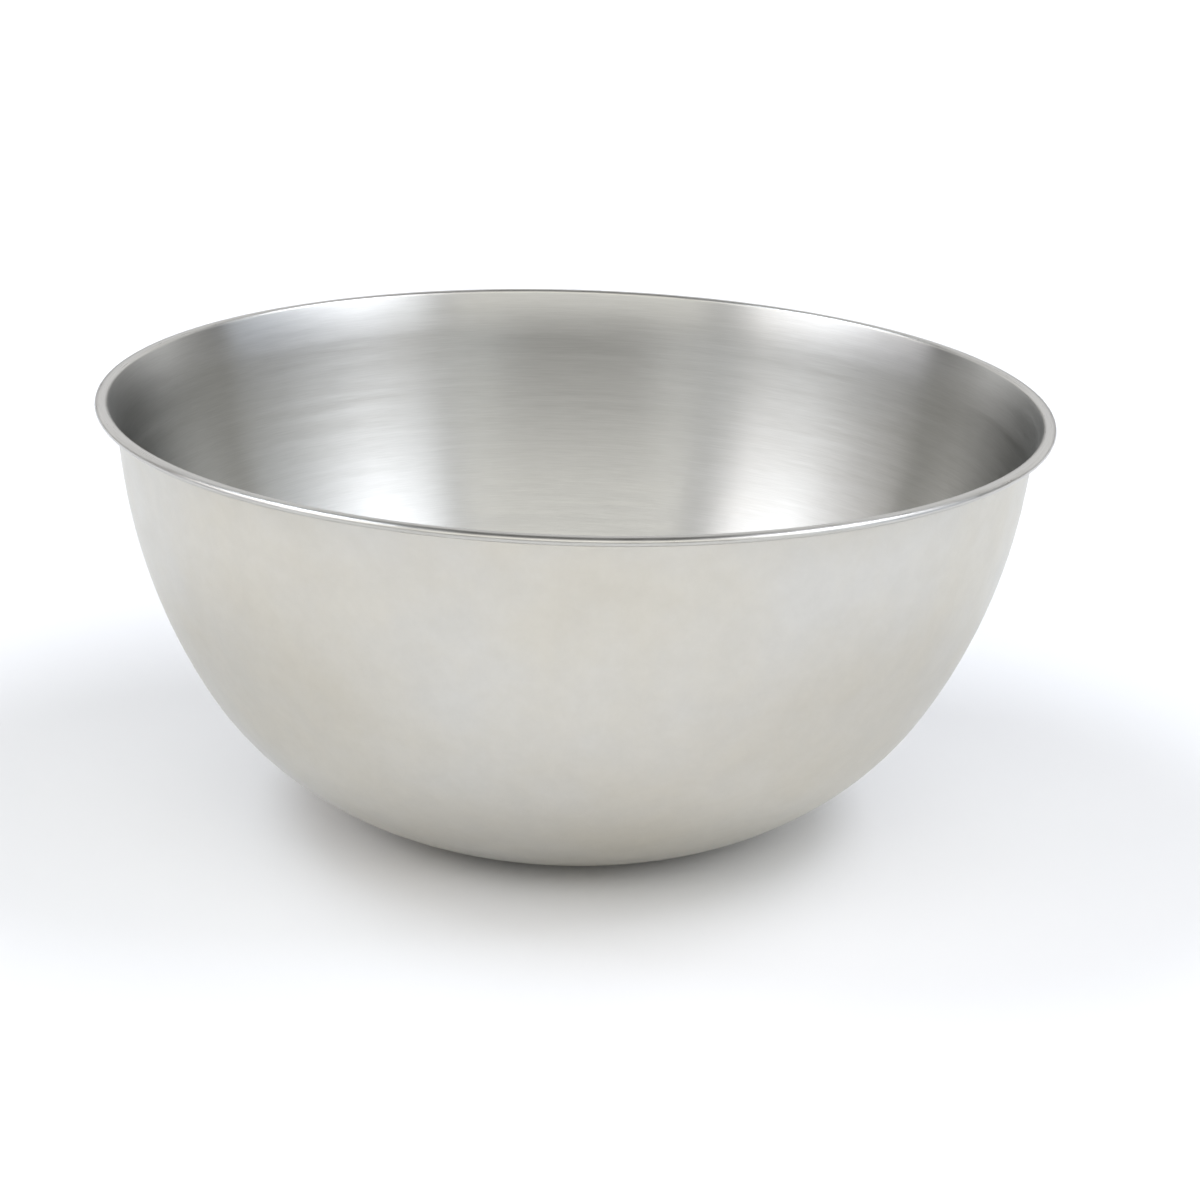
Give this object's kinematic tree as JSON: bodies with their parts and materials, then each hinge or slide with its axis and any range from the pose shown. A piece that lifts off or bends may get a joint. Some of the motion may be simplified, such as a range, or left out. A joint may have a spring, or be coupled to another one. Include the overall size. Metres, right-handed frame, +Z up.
{
  "type": "mixing bowl",
  "caption": "Deep round stainless steel mixing bowl, nearly half a sphere, with a flat base, a wall that flares near the top, a narrow crowned flange and a rolled rim.",
  "frame": {"origin": "centre of the flat base's underside, which stands on the table", "axes": "+Z up along the bowl's axis of revolution, out of its mouth; +X and +Y are level, and the bowl is the same all round"},
  "size_m": [0.3, 0.3, 0.135],
  "materials": {
    "steel": "satin stainless steel, even and fine outside, with fine spun rings inside and round the rim"
  },
  "bodies": {
    "root": {"bowl": "steel"}
  },
  "joints": []
}
